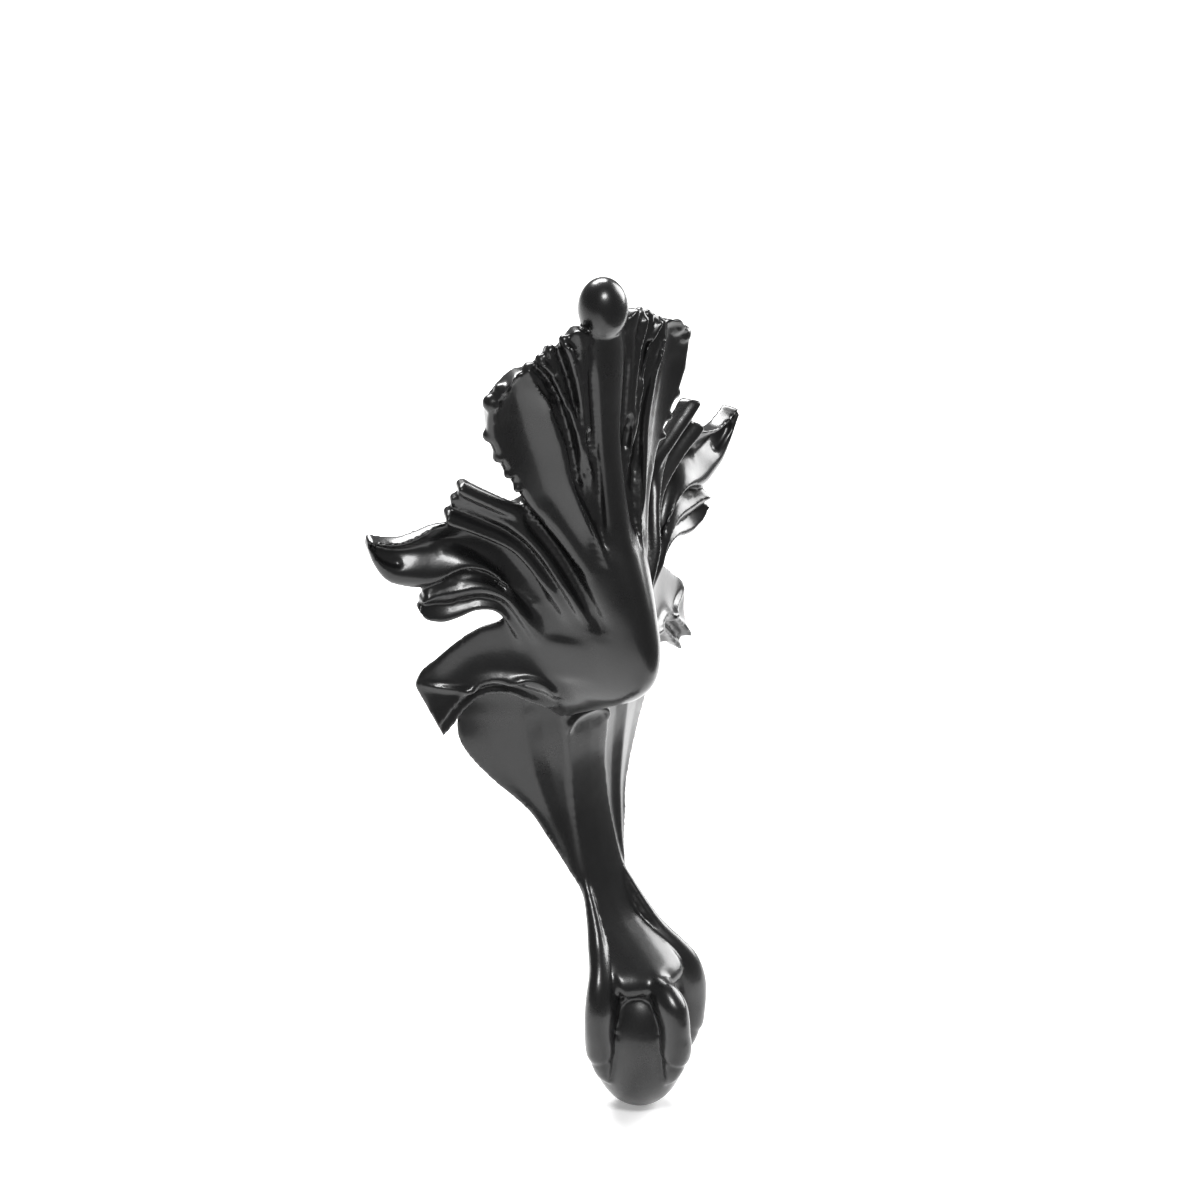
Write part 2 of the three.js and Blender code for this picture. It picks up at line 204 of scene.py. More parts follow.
# Leaves of one side, drawn between their two outlines. Relief is (share across, height in ribs).
leaves = [
    {
        "name": "fanLobe",
        "top": [(7, 62.5), (9.4, 68), (12.5, 73), (16.5, 77), (19, 81), (25.4, 86), (31.2, 88.8)],
        "under": [
            (13.4, 58.4), (17.6, 64), (24, 69), (33.4, 73.2), (42.6, 77.6), (49.4, 81.2), (52.6, 84.6),
            (51.3, 87.6), (45.6, 89.6),
        ],
        "relief": [(0, 0.5), (0.1, 0.9), (0.25, 0.4), (0.5, -0.1), (0.75, 0.1), (0.9, 0.0), (1, -0.9)],
        "tipRelief": [(0, 0.6), (0.08, 0.9), (0.2, 0.5), (0.5, -0.35), (0.8, 0.5), (0.92, 1.0), (1, 0.5)],
        "lift": 2.2, "scallops": 1, "tipRoll": -2.6, "flute": 0,
    },
    {
        "name": "middleLobe",
        "top": [(8.2, 74), (11.6, 79.5), (14.5, 83.5), (19, 87.5), (24, 90.6), (27, 91.8)],
        "under": [(12.5, 72.5), (17.5, 77.5), (21.5, 82), (27.5, 86.5), (33, 89.6), (36.2, 90.6)],
        "relief": [(0, 0.9), (0.2, 1.2), (0.5, -0.3), (0.82, 0.7), (1, 0.1)],
        "lift": 1.2, "scallops": 2, "tipRoll": -2.0, "flute": 0.8,
    },
    {
        "name": "smallLobe",
        "top": [(7, 72), (10, 80), (12.8, 88.5), (16.2, 93.2)],
        "under": [(11.4, 72), (15.6, 80), (22.4, 88.2), (28.4, 92.4)],
        "relief": [(0, 0.8), (0.2, 1.2), (0.55, -0.2), (0.82, 0.6), (1, -0.2)],
        "lift": 1.0, "scallops": 2, "tipRoll": -1.6, "flute": 0.8, "sink": 0.8,
    },
    {
        "name": "budLobe",
        "top": [(5, 76), (6, 82), (7.4, 88), (9, 94.2)],
        "under": [(9.6, 75.6), (12.8, 82), (16, 88), (19.4, 93.8)],
        "relief": [(0, 0.0), (0.35, 0.8), (0.6, 0.7), (1, -0.4)],
        "lift": 0.8, "scallops": 1, "tipRoll": -1.6, "flute": 0, "sink": 0.6,
    },
    {
        "name": "squaredLobe",
        "top": [
            (12.6, 55.5), (17.4, 63.2), (23.6, 68.6), (33.8, 72.9), (43.5, 74.6), (52, 76.2), (60.4, 77.9),
        ],
        "under": [(24.4, 58), (28.7, 62.4), (33.4, 65.4), (40, 67.9), (48, 69.4), (56, 70.8), (66.6, 72.6)],
        "relief": [
            (0, -1.3), (0.05, -1.2), (0.38, 1.0), (0.48, 0.9), (0.62, -0.3), (0.76, 0.4), (0.86, 0.7),
            (0.95, 0.4), (1, -0.4),
        ],
        "tipRelief": [(0, 0.4), (0.16, 0.9), (0.4, 0.1), (0.62, -0.2), (0.84, 0.9), (0.94, 0.9), (1, 0.5)],
        "lift": 0.9, "scallops": 3, "tipRoll": -1.4, "flute": 0.7,
    },
    {
        "name": "hookedLobe",
        "top": [
            (25.4, 57), (31.4, 62), (38.5, 65.8), (46.7, 68.9), (55, 70.8), (62.4, 71.9), (70.6, 72.3),
            (77.6, 71.7), (84.7, 71.2), (93, 71.5), (99.2, 72.1),
        ],
        "under": [
            (30, 55.4), (36, 60.2), (43.4, 64), (51.6, 66), (60, 66.4), (66, 65.8), (70.6, 65), (76.5, 64.7),
            (83.5, 65.2), (90.6, 66.2), (96, 68.4), (99.8, 71.2),
        ],
        "relief": [(0, -1.3), (0.12, -1.2), (0.4, 0.1), (0.7, 1.2), (0.86, 1.1), (1, -0.2)],
        "tipRelief": [(0, 0.9), (0.18, 0.4), (0.42, -0.9), (0.72, 0.7), (0.9, 0.7), (1, 0.3)],
        "lift": 0.7, "scallops": 0, "tipRoll": -1.0, "flute": 0,
    },
    {
        "name": "lowerLobe",
        "top": [(27, 54.6), (31.4, 59.6), (38.6, 63.6), (50.6, 66.6), (60, 67.0), (68.2, 66.4), (74, 64.8)],
        "under": [
            (32.6, 53.2), (37.5, 56.6), (42.8, 59.6), (46.8, 60.8), (54, 61), (61, 60.2), (67, 59.8),
            (73, 60.5), (76.8, 61.9),
        ],
        "relief": [(0, -1.1), (0.08, -1.0), (0.34, 1.0), (0.46, 0.9), (0.7, -0.2), (0.88, 0.6), (1, 0.2)],
        "lift": 0.8, "scallops": 3, "tipRoll": -1.4, "flute": 0.7,
    },
    {
        "name": "lowestLeaf",
        "top": [
            (26, 55.6), (33.6, 58.2), (42.5, 58.8), (52.9, 57.2), (60, 55.6), (66.5, 53.9), (72, 52.7),
            (74.5, 51.2),
        ],
        "under": [
            (15.4, 44.9), (20, 46), (28.2, 48.2), (38.8, 49.8), (47, 49.7), (54, 48.3), (60, 46.2),
            (63.5, 45.2),
        ],
        "relief": [
            (0, -1.2), (0.08, -1.0), (0.35, -0.5), (0.58, 0.4), (0.71, 1.3), (0.82, -0.2), (0.93, 0.4),
            (1, 0.5),
        ],
        "lift": 0.8, "scallops": 0, "tipRoll": -0.8, "flute": 0,
    },
]

# Right edge of the body behind the leaves and of the stem of the fan, drawn the same way.
bodyEdge = [
    (13.5, 44.5), (21, 46.4), (29.4, 48.3), (38.8, 49.7), (43.5, 51.8), (44, 55.2), (43, 57.6), (42.5, 60),
    (48, 61.8), (55, 64), (58.8, 67), (57.6, 70), (49.4, 72), (37.6, 73), (34, 74.2), (35.3, 77),
    (41, 80.6), (43.5, 84.2), (38.8, 87.6), (27, 90), (13, 92.7),
]
stemEdge = [
    (5.3, 57.6), (6.5, 63.6), (6.8, 67), (7.8, 71.5), (8.8, 77), (10.9, 83), (11.2, 89.7), (9.4, 94),
]


def mirrored(points):
    return [(-x, z) for x, z in points]


body = {
    "top": mirrored(bodyEdge),
    "under": bodyEdge,
    "relief": [(0, -1.3), (0.2, -1.0), (0.34, -0.3), (0.5, -0.1), (0.66, -0.3), (0.8, -1.0), (1, -1.3)],
    "tipRelief": [(0, -1.1), (0.25, -0.9), (0.38, -0.4), (0.5, -0.4), (0.62, -0.4), (0.75, -0.9), (1, -1.1)],
    "lift": 0, "wall": casting["wall"], "bow": 5, "rise": 0.25, "columns": 240, "rows": 140,
}
stem = {
    "top": mirrored(stemEdge),
    "under": stemEdge,
    "relief": [(0, 0.0), (0.2, 0.7), (0.5, 1.0), (0.8, 0.7), (1, 0.0)],
    "lift": 0.6, "rise": 0.6, "columns": 100, "rows": 120,
}


# Points of a leaf: the face for the first half of its ring, the back for the second.
def leafPlace(leaf, side):
    top, under = rail(leaf["top"]), rail(leaf["under"])
    step, rib = leafGrowth["step"], casting["ribHeight"]

    def place(t, u):
        onBack = (t > 0.5) & (t < leafGrowth["backEnd"])
        s = np.where(t > 0.5, 2 - 2 * t, 2 * t)
        a, b = top(u), under(u)
        before, after = np.maximum(u - step, 0), np.minimum(u + step, 1)
        ahead = top(after) - top(before)
        ahead = ahead + under(after) - under(before)
        ahead /= np.linalg.norm(ahead, axis=1)[:, None]
        flat = a + (b - a) * s[:, None]
        bow = leaf.get("bow", 0) * (1 - (2 * s - 1) ** 2)
        flat[:, 1] += bow * (1 - easeIn(u, 0, leafGrowth["bowEnd"]))
        grow = easeIn(u, 0, leaf.get("rise", leafGrowth["rise"]))
        height = along(leaf["relief"], s)
        if "tipRelief" in leaf:
            toTip = easeIn(u, *leafGrowth["tip"])
            height = height * (1 - toTip) + along(leaf["tipRelief"], s) * toTip
        lobes = leaf.get("scallops", 0)
        if lobes:
            wave = np.abs(np.sin(np.pi * lobes * s))
            width = np.linalg.norm(b - a, axis=1)
            reach = width / lobes * leafGrowth["scallopReach"] * wave
            flat = flat + ahead * (reach * easeIn(u, *leafGrowth["scallop"]))[:, None]
            height = height - leaf.get("flute", 0) * (1 - wave) ** 2 * easeIn(u, *leafGrowth["flute"])
        roll = leaf.get("tipRoll", 0) * easeIn(u, *leafGrowth["roll"])
        lifted = leaf["lift"] * grow + height * rib * grow - (1 - grow) * leaf.get("sink", rib) - roll
        hidden = onBack & (u > 0) & (u < 1)
        back = np.minimum(lifted, 0) - leaf.get("wall", casting["leafWall"])
        return onFront(flat[:, 0], flat[:, 1], np.where(hidden, back, lifted), side)

    return place


def makeLeaves():
    made = []
    for leaf in leaves:
        for side in (1, -1):
            place = leafPlace(leaf, side)
            made.append(rolled(leaf["name"], leafGrowth["columns"], leafGrowth["rows"], place))
    return made


def makeBody():
    made = []
    for name, leaf in (("body", body), ("stem", stem)):
        made.append(rolled(name, leaf["columns"], leaf["rows"], leafPlace(leaf, 1)))
    return made


# Leg: height, half band, band reach, crease across, crease reach, skirt across, skirt reach,
# depth behind the face, further depth at the middle, taper of the back.
legTable = [
    (48.8, 8.6, 40.2, 9.6, 36, 10.5, 30, 6, 3, 0.7),
    (50.4, 12.4, 42.6, 14.2, 36, 16, 30, 7, 5, 0.66),
    (53, 14, 43.2, 16, 34.4, 17.6, 28.5, 8, 7, 0.62),
    (57, 13.8, 40.4, 15.8, 31.4, 17.2, 25.6, 8, 8, 0.6),
    (62, 12.4, 32.4, 14.2, 26.2, 15.4, 21.8, 7, 8, 0.6),
    (70, 10.6, 20.7, 11.9, 17.8, 12.6, 15.5, 6, 7, 0.6),
    (80, 9.2, 13.8, 10.2, 11.6, 10.9, 10.6, 5, 6, 0.6),
    (90, 8.5, 9.8, 11.5, 6.5, 13.8, 5, 5, 3, 0.75),
    (101, 8.2, 6, 13.4, 2.6, 18, 0, 6, 0, 0.86),
    (112, 8, 3.2, 16.4, -1.6, 23, -5.4, 6.5, 0, 0.88),
    (127, 8.2, 1.2, 20.5, -5, 35.3, -14.4, 6.5, 0, 0.88),
    (141, 9.4, 1.2, 23.5, -6.4, 44, -19, 6.5, 0, 0.88),
    (151, 10.5, 1.6, 25, -6.6, 44, -21, 6.5, 0, 0.88),
    (160, 11, 4, 25, -6, 41, -21, 6.5, 0, 0.88),
    (168, 11, 15, 24, -1, 38, -18, 6.5, 0, 0.88),
    (176, 11, 31, 22, 14, 33, -2, 6.5, 0, 0.88),
    (188, 11, 31, 22, 14, 33, -2, 6.5, 0, 0.88),
]
# How the band is rounded and stepped, the skirts are hollowed, and the leg is tucked under the
# knee. Millimetres, with the shoulder and its fall as shares.
legEdge = {
    "step": 1.9, "stepOut": 0.9, "fall": 0.9, "round": 0.75, "flatTo": 9.4,
    "shoulder": 0.55, "shoulderFall": 0.3, "hollow": 1.5, "slack": 0.6,
    "tuckStart": 166, "tuckEnd": 176, "tuckDepth": 3,
    "columns": 180, "rows": 220,
}


# The ring of a leg height: over the face from side to side, and back behind it.
def legPlace(s, u):
    heights = np.array([row[0] for row in legTable], float)
    z = heights[0] + (heights[-1] - heights[0]) * u
    columns = [along([(row[0], row[k]) for row in legTable], z) for k in range(1, 10)]
    band, bandReach, crease, creaseReach, skirt, skirtReach, depth, spine, taper = columns
    fall = legEdge["fall"] + legEdge["round"] * np.maximum(band - legEdge["flatTo"], 0)
    side = bandReach - fall
    hollow = (side + creaseReach) / 2 - legEdge["hollow"]
    stepDown = side - legEdge["step"]
    halfX = np.stack([
        band * 0, band * legEdge["shoulder"], band, band + legEdge["stepOut"],
        (band + crease) / 2, crease, (crease + skirt) / 2, skirt,
    ])
    halfF = np.stack([
        bandReach, bandReach - legEdge["shoulderFall"] * fall, side, stepDown,
        np.minimum(hollow, stepDown), creaseReach,
        (creaseReach + skirtReach) / 2 - legEdge["slack"], skirtReach,
    ])
    tucked = easeIn(z, legEdge["tuckStart"], legEdge["tuckEnd"])
    underKnee = frontAt(halfX, np.broadcast_to(z, halfX.shape)) - legEdge["tuckDepth"]
    halfF = halfF * (1 - tucked) + underKnee * tucked
    backF = halfF - depth - spine * (1 - halfX / skirt)
    ringX = np.concatenate([-halfX[:0:-1], halfX, (halfX * taper)[::-1], -(halfX * taper)[1:]])
    ringF = np.concatenate([halfF[:0:-1], halfF, backF[::-1], backF[1:]])
    ringX = np.concatenate([ringX, ringX[:1]])
    ringF = np.concatenate([ringF, ringF[:1]])
    t = s * (len(ringX) - 1)
    k = np.clip(t.astype(int), 0, len(ringX) - 2)
    w = t - k
    n = np.arange(len(t))
    x = ringX[k, n] * (1 - w) + ringX[k + 1, n] * w
    f = ringF[k, n] * (1 - w) + ringF[k + 1, n] * w
    return np.column_stack([x, casting["ballReach"] - f, z]) * mm


def makeLeg():
    return rolled("leg", legEdge["columns"], legEdge["rows"], legPlace)


# A round limb along stops of (x, forward from the ball, height, half width, half depth).
def limb(name, stops, around, rows):
    stops = np.array(stops, float)
    share = np.linspace(0, 1, len(stops))
    middle = np.array([0, 0, casting["ballHeight"] / 2])
    step = 0.01         # of the length, over which the direction is read

    def read(k, u):
        return along(list(zip(share, stops[:, k])), u)

    def place(s, u):
        path, tip, tail = (np.column_stack([read(k, at) for k in range(3)])
                           for at in (u, np.minimum(u + step, 1), np.maximum(u - step, 0)))
        ahead = tip - tail
        ahead /= np.linalg.norm(ahead, axis=1)[:, None]
        out = path - middle
        out -= ahead * np.sum(out * ahead, axis=1)[:, None]
        out /= np.linalg.norm(out, axis=1)[:, None]
        sideways = np.cross(ahead, out)
        angle = s * 2 * np.pi
        wide, deep = read(3, u), read(4, u)
        p = path + sideways * (np.cos(angle) * wide)[:, None] + out * (np.sin(angle) * deep)[:, None]
        return np.column_stack([p[:, 0], -p[:, 1], p[:, 2]]) * mm

    return rolled(name, around, rows, place)


# Stops of the toes with their talons: place across, forward and up, in hundredths of the ball's
# radius and height, then half width and half depth in hundredths of half a toe.
claw = {
    "frontToe": [
        (0, 28, 110, 62, 38), (0, 57, 102, 85, 70), (0, 84, 96, 104, 112), (0, 104, 88, 110, 134),
        (0, 115, 79, 100, 128), (0, 118, 70, 98, 124), (0, 121, 62, 104, 124), (0, 119, 54, 100, 112),
        (0, 115, 50, 84, 88), (0, 113, 45, 80, 84), (0, 105, 36, 56, 58), (0, 91, 27, 20, 20),
    ],
    "sideToe": [
        (43, -141, 175, 16, 13), (52, -104, 157, 32, 28), (63, -71, 140, 50, 44), (77, -42, 125, 65, 58),
        (89, -12, 110, 81, 112), (100, 6, 98, 98, 142), (110, 16, 85, 104, 140), (116, 19, 74, 98, 122),
        (117, 19, 63, 106, 104), (115, 19, 54, 100, 98), (111, 18, 50, 84, 80), (109, 18, 45, 80, 78),
        (102, 16, 36, 56, 56), (88, 14, 27, 20, 20),
    ],
    "toeWidth": 10.4,
    "around": 28,
    "frontRows": 90,
    "sideRows": 110,
}
# The palm over the ball: its wall, lower edge and fall to the heel, and the arches between the toes.
cowl = {
    "wall": 2.4, "edge": 34, "tilt": 10, "sink": 1.5,
    "archAngle": 41, "archHalf": 9.6, "archTop": 49.5, "archMiddle": 36,
    "lowest": np.pi * 0.6, "highest": 0.2, "levels": 160, "inset": 0.01,    # angles from the top, in radians
    "columns": 160, "rows": 80,
}


def clawStops(name, side=1):
    radius, height = casting["ballWidth"] / 2, casting["ballHeight"]
    half = claw["toeWidth"] / 2
    scale = np.array([side * radius, radius, height, half, half]) / 100
    return np.array(claw[name], float) * scale


# The palm follows the ball; each meridian ends at the lowest height that no arch or edge cuts.
def cowlPlace(s, u):
    turn = (s - 0.5) * 2 * np.pi
    wide = casting["ballWidth"] / 2 + cowl["wall"]
    tall = casting["ballHeight"] / 2 + cowl["wall"]
    middle = casting["ballHeight"] / 2
    end = np.full(len(s), np.pi)
    for theta in np.linspace(cowl["lowest"], cowl["highest"], cowl["levels"]):
        r, z = wide * math.sin(theta), middle + tall * math.cos(theta)
        cut = z < cowl["edge"] + r * np.cos(turn) * math.tan(math.radians(cowl["tilt"]))
        for arch in (-1, 1):
            away = turn - math.radians(cowl["archAngle"]) * arch
            offset = np.abs(r * np.sin(away)) / cowl["archHalf"]
            rise = np.sqrt(np.clip(1 - offset ** 2, 0, 1)) * (cowl["archTop"] - cowl["archMiddle"])
            cut |= (offset < 1) & (np.cos(away) > 0) & (z < cowl["archMiddle"] + rise)
        end = np.where(cut, theta, end)
    end = end - cowl["inset"]
    outer = u <= 0.5
    share = np.where(outer, 2 * u, 2 - 2 * u)
    theta = end * share
    thin = np.where(outer, 0, cowl["wall"] + cowl["sink"])
    r = (wide - thin) * np.sin(theta)
    z = middle + (tall - thin) * np.cos(theta)
    return np.column_stack([r * np.sin(turn), -r * np.cos(turn), z]) * mm


ball = {"segments": 64, "rings": 40, "sink": 0.3}       # it stands on a small flat


def makeBall():
    deselect()
    radius = casting["ballWidth"] / 2 * mm
    half = casting["ballHeight"] / 2 * mm
    centre = (0, 0, half - ball["sink"] * mm)
    bpy.ops.mesh.primitive_uv_sphere_add(
        segments=ball["segments"], ring_count=ball["rings"], radius=radius, location=centre)
    egg = bpy.context.object
    egg.name = "ball"
    bpy.ops.object.mode_set(mode="EDIT")
    bpy.ops.transform.resize(value=(1, 1, half / radius))
    bpy.ops.mesh.bisect(plane_co=(0, 0, 0), plane_no=(0, 0, 1), clear_inner=True, use_fill=True)
    bpy.ops.object.mode_set(mode="OBJECT")
    bpy.ops.object.transform_apply(location=True, rotation=True, scale=True)
    return egg


def makeClaw():
    made = [makeBall(), limb("frontToe", clawStops("frontToe"), claw["around"], claw["frontRows"])]
    for side in (1, -1):
        made.append(limb("sideToe", clawStops("sideToe", side), claw["around"], claw["sideRows"]))
    made.append(rolled("cowl", cowl["columns"], cowl["rows"], cowlPlace))
    return made


# Thin beads: one under the rim of each skirt, with its height over the front and its radius in
# millimetres, and one over the top of the band, as (across, reach, height) of its middle line.
rimBead = {
    "path": [(16.6, 45.2), (23.4, 46.8), (33.2, 49.2), (41.1, 50.1), (49.8, 49.6), (55, 48.1), (59.4, 46.4)],
    "height": -3.5, "radius": 1.5, "readings": 12,
}
bandCap = {
    "path": [
        (9.2, 0.3, 142.5), (8.4, 1.0, 145.6), (5.4, 1.3, 148), (0, 1.5, 149), (-5.4, 1.3, 148),
        (-8.4, 1.0, 145.6), (-9.2, 0.3, 142.5),
    ],
    "radius": 1.1,
}
beadGrid = {"around": 14, "rows": 80}


def makeBeads():
    made = []
    for side in (1, -1):
        flat = rail(rimBead["path"])(np.linspace(0, 1, rimBead["readings"]))
        p = onFront(flat[:, 0], flat[:, 1], rimBead["height"], side) / mm
        stops = [(x, -y, z, rimBead["radius"], rimBead["radius"]) for x, y, z in p]
        made.append(limb("bead", stops, beadGrid["around"], beadGrid["rows"]))
    radius = bandCap["radius"]
    stops = [(x, f - casting["ballReach"], z, radius, radius) for x, f, z in bandCap["path"]]
    made.append(limb("bandCap", stops, beadGrid["around"], beadGrid["rows"]))
    return made


# Knobs of the frilled rims: place on the front view, radius, height over the front.
knobs = [
    (50.6, 87.6, 3.6, 3.0), (46.4, 89.0, 3.0, 3.0), (51.0, 83.4, 2.8, 1.6), (47.0, 80.6, 2.6, 1.8),
    (42.4, 78.2, 2.2, 1.6), (38.6, 76.2, 1.9, 1.6), (34.4, 91.0, 2.4, 1.6), (29.6, 92.0, 2.2, 1.8),
    (25.4, 93.0, 2.2, 1.8), (19.8, 94.0, 2.2, 1.8),
]
knobGrid = {"segments": 20, "rings": 12}


def makeKnobs():
    made = []
    for x, z, size, height in knobs:
        for side in (1, -1):
            spot = onFront(np.array([float(across(x))]), np.array([float(up(z))]), height, side)[0]
            deselect()
            bpy.ops.mesh.primitive_uv_sphere_add(
                segments=knobGrid["segments"], ring_count=knobGrid["rings"], radius=size * mm, location=spot)
            bpy.context.object.name = "knob"
            bpy.ops.object.transform_apply(location=True, rotation=True, scale=True)
            made.append(bpy.context.object)
    return made


finial = {"width": 18.8, "height": 24.4, "reach": 9.0, "segments": 48, "rings": 32}


def makeFinial():
    deselect()
    y = casting["ballReach"] - finial["reach"]
    z = casting["height"] - finial["height"] / 2
    bpy.ops.mesh.primitive_uv_sphere_add(
        segments=finial["segments"], ring_count=finial["rings"], radius=finial["width"] / 2 * mm,
        location=(0, y * mm, z * mm))
    egg = bpy.context.object
    egg.name = "finial"
    bpy.ops.object.mode_set(mode="EDIT")
    bpy.ops.transform.resize(value=(1, 1, finial["height"] / finial["width"]))
    bpy.ops.object.mode_set(mode="OBJECT")
    bpy.ops.object.transform_apply(location=True, rotation=True, scale=True)
    return egg


lug = {"width": 46, "height": 22, "depth": 20, "setback": 14, "level": 212}


def makeLug():
    deselect()
    middle = (0, (casting["ballReach"] + lug["setback"] - lug["depth"] / 2) * mm, lug["level"] * mm)
    bpy.ops.mesh.primitive_cube_add(size=1, location=middle)
    boss = bpy.context.object
    boss.name = "lug"
    boss.scale = (lug["width"] * mm, lug["depth"] * mm, lug["height"] * mm)
    bpy.ops.object.transform_apply(location=True, rotation=True, scale=True)
    return boss


# Strokes of the carver on the joined casting: outline points, width and height in millimetres.
# A height below nought cuts a groove.
strokes = [
    {"path": [(11.6, 82.6), (10.4, 80.2), (9.3, 78.2)], "width": 1.3, "height": -1.2},
    {"path": [(26.4, 90.3), (23.0, 88.2), (20.3, 85.9)], "width": 1.4, "height": -2.6},
    {"path": [(27.5, 87.0), (19.8, 81.4), (16.6, 75.9), (14.7, 71.9), (12.0, 66.5)],
     "width": 1.5, "height": -1.7},
    {"path": [(9.2, 68.0), (7.6, 74.0), (7.4, 80.0), (9.0, 86.0), (10.2, 90.5)],
     "width": 1.4, "height": -1.4},
    {"path": [(72.4, 51.6), (62.5, 50.9), (50.0, 51.0), (39.0, 51.8), (34.2, 51.9), (28.9, 51.2),
              (22.3, 48.9)],
     "width": 1.2, "height": 1.3},
    {"path": [(96.5, 70.3), (92.5, 69.2), (88.2, 68.5), (84.3, 68.2)], "width": 1.6, "height": -1.4},
    {"path": [(30.0, 73.0), (38.0, 78.5), (44.0, 83.0), (47.0, 86.0)], "width": 4.0, "height": -0.8},
    {"path": [(72, 69.3), (66, 69.8), (60, 69.6), (53, 68.6), (46, 66.8), (39, 64.2), (33, 61)],
     "width": 3.2, "height": -2.6},
    {"path": [(35.5, 72.4), (30, 70.4), (25.6, 68.2), (19.6, 63.6), (15.5, 58.6)],
     "width": 2.4, "height": -2.6},
    {"path": [(66, 65.0), (57.4, 65.4), (49.1, 65.0), (41.2, 63.8), (35, 61.7), (29.5, 59.2)],
     "width": 1.8, "height": -1.0},
]
# The strokes bite where the surface faces forward and lies near the front, and fade at their ends.
# "near" is in millimetres over the front, the others are shares.
stroke = {
    "readings": 60,
    "facing": (0.05, 0.45),
    "near": (-5.5, -4.0),
    "start": (-0.05, 0.15),
    "end": (0.85, 1.05),
    "beyond": 1e9,
}


def carve(piece):
    count = len(piece.data.vertices)
    co = np.zeros(count * 3)
    normal = np.zeros(count * 3)
    piece.data.vertices.foreach_get("co", co)
    piece.data.vertices.foreach_get("normal", normal)
    co, normal = co.reshape(-1, 3), normal.reshape(-1, 3)
    x, z = np.abs(co[:, 0]) / mm, co[:, 2] / mm
    ahead = casting["ballReach"] - co[:, 1] / mm - frontAt(x, z)
    facing = easeIn(-normal[:, 1], *stroke["facing"]) * easeIn(ahead, *stroke["near"])
    move = np.zeros(count)
    for cut in strokes:
        track = rail(cut["path"])(np.linspace(0, 1, stroke["readings"]))
        best = np.full(count, stroke["beyond"])
        where = np.zeros(count)
        for i, (px, pz) in enumerate(track):
            away = np.hypot(x - px, z - pz)
            nearer = away < best
            best[nearer] = away[nearer]
            where[nearer] = i / (len(track) - 1)
        taper = easeIn(where, *stroke["start"]) * (1 - easeIn(where, *stroke["end"]))
        move += cut["height"] * np.exp(-(best / cut["width"]) ** 2) * taper
    co = co + normal * (move * facing * mm)[:, None]
    co[:, 2] = np.maximum(co[:, 2], 0)
    piece.data.vertices.foreach_set("co", co.ravel())
    piece.data.update()


# Voxel size in millimetres, and how often the casting is smoothed before and after the carving.
surface = {
    "voxel": 0.8, "factor": 0.5, "softening": 36, "smoothing": 4, "lastSmoothing": 1, "triangles": 185000,
}
# Places that the caster dressed smooth: middle and reach on the front view, in millimetres.
soft = [
    {"middle": (0, 176), "reach": (36, 28)},        # knee
    {"middle": (26, 196), "reach": (14, 16)},       # roots of the wing
    {"middle": (0, 58), "reach": (13, 9)},          # instep
    {"middle": (14, 268), "reach": (11, 32), "share": 0.2},     # roots of the fan
]
softRim = {"full": 0.7, "none": 1.1, "levels": 10}       # shares of the reach, and steps of the fading


def smooth(piece, times, **settings):
    addModifier(piece, "SMOOTH", factor=surface["factor"], iterations=times, **settings)


# Extra smoothing of the dressed places, through a vertex group that fades at their rims.
def soften(piece):
    count = len(piece.data.vertices)
    co = np.zeros(count * 3)
    piece.data.vertices.foreach_get("co", co)
    co = co.reshape(-1, 3) / mm
    weight = np.zeros(count)
    for place in soft:
        (x0, z0), (rx, rz) = place["middle"], place["reach"]
        away = np.hypot((np.abs(co[:, 0]) - x0) / rx, (co[:, 2] - z0) / rz)
        fade = 1 - easeIn(away, softRim["full"], softRim["none"])
        weight = np.maximum(weight, fade * place.get("share", 1))
    group = piece.vertex_groups.new(name="dressed")
    levels = softRim["levels"]
    for level in range(1, levels + 1):
        chosen = np.nonzero(np.round(weight * levels) == level)[0]
        group.add(chosen.tolist(), level / levels, "REPLACE")
    smooth(piece, surface["softening"], vertex_group="dressed")


def makeCasting():
    parts = makeLeaves() + makeBody() + [makeLeg()] + makeClaw()
    parts += makeBeads() + makeKnobs() + [makeFinial(), makeLug()]
    print("forms made:", len(parts))
    deselect()
    for part in parts:
        part.select_set(True)
    bpy.context.view_layer.objects.active = parts[0]
    bpy.ops.object.join()
    whole = bpy.context.object
    whole.name = "cast_foot"
    addModifier(whole, "REMESH", mode="VOXEL", voxel_size=surface["voxel"] * mm, adaptivity=0.0)
    print("remeshed:", len(whole.data.polygons), "faces")
    soften(whole)
    smooth(whole, surface["smoothing"])
    carve(whole)
    smooth(whole, surface["lastSmoothing"])
    share = surface["triangles"] / (2 * len(whole.data.polygons))
    if share < 1:
        addModifier(whole, "DECIMATE", ratio=share)
    choose(whole)
    bpy.ops.object.shade_smooth()
    print("finished casting:", len(whole.data.polygons), "faces")
    return whole


# Wraps a shader socket, so that shader sums are written as plain sums.
class Wire:
    def __init__(self, tree, socket):
        self.tree = tree
        self.socket = socket

    def math(self, operation, *others):
        node = self.tree.nodes.new("ShaderNodeMath")
        node.operation = operation
        for slot, value in zip(node.inputs, others):
            if isinstance(value, Wire):
                self.tree.links.new(value.socket, slot)
            else:
                slot.default_value = value
        return Wire(self.tree, node.outputs[0])

    def __add__(self, other):
        return self.math("ADD", self, other)

    def __radd__(self, other):
        return self.math("ADD", other, self)

    def __sub__(self, other):
        return self.math("SUBTRACT", self, other)

    def __mul__(self, other):
        return self.math("MULTIPLY", self, other)


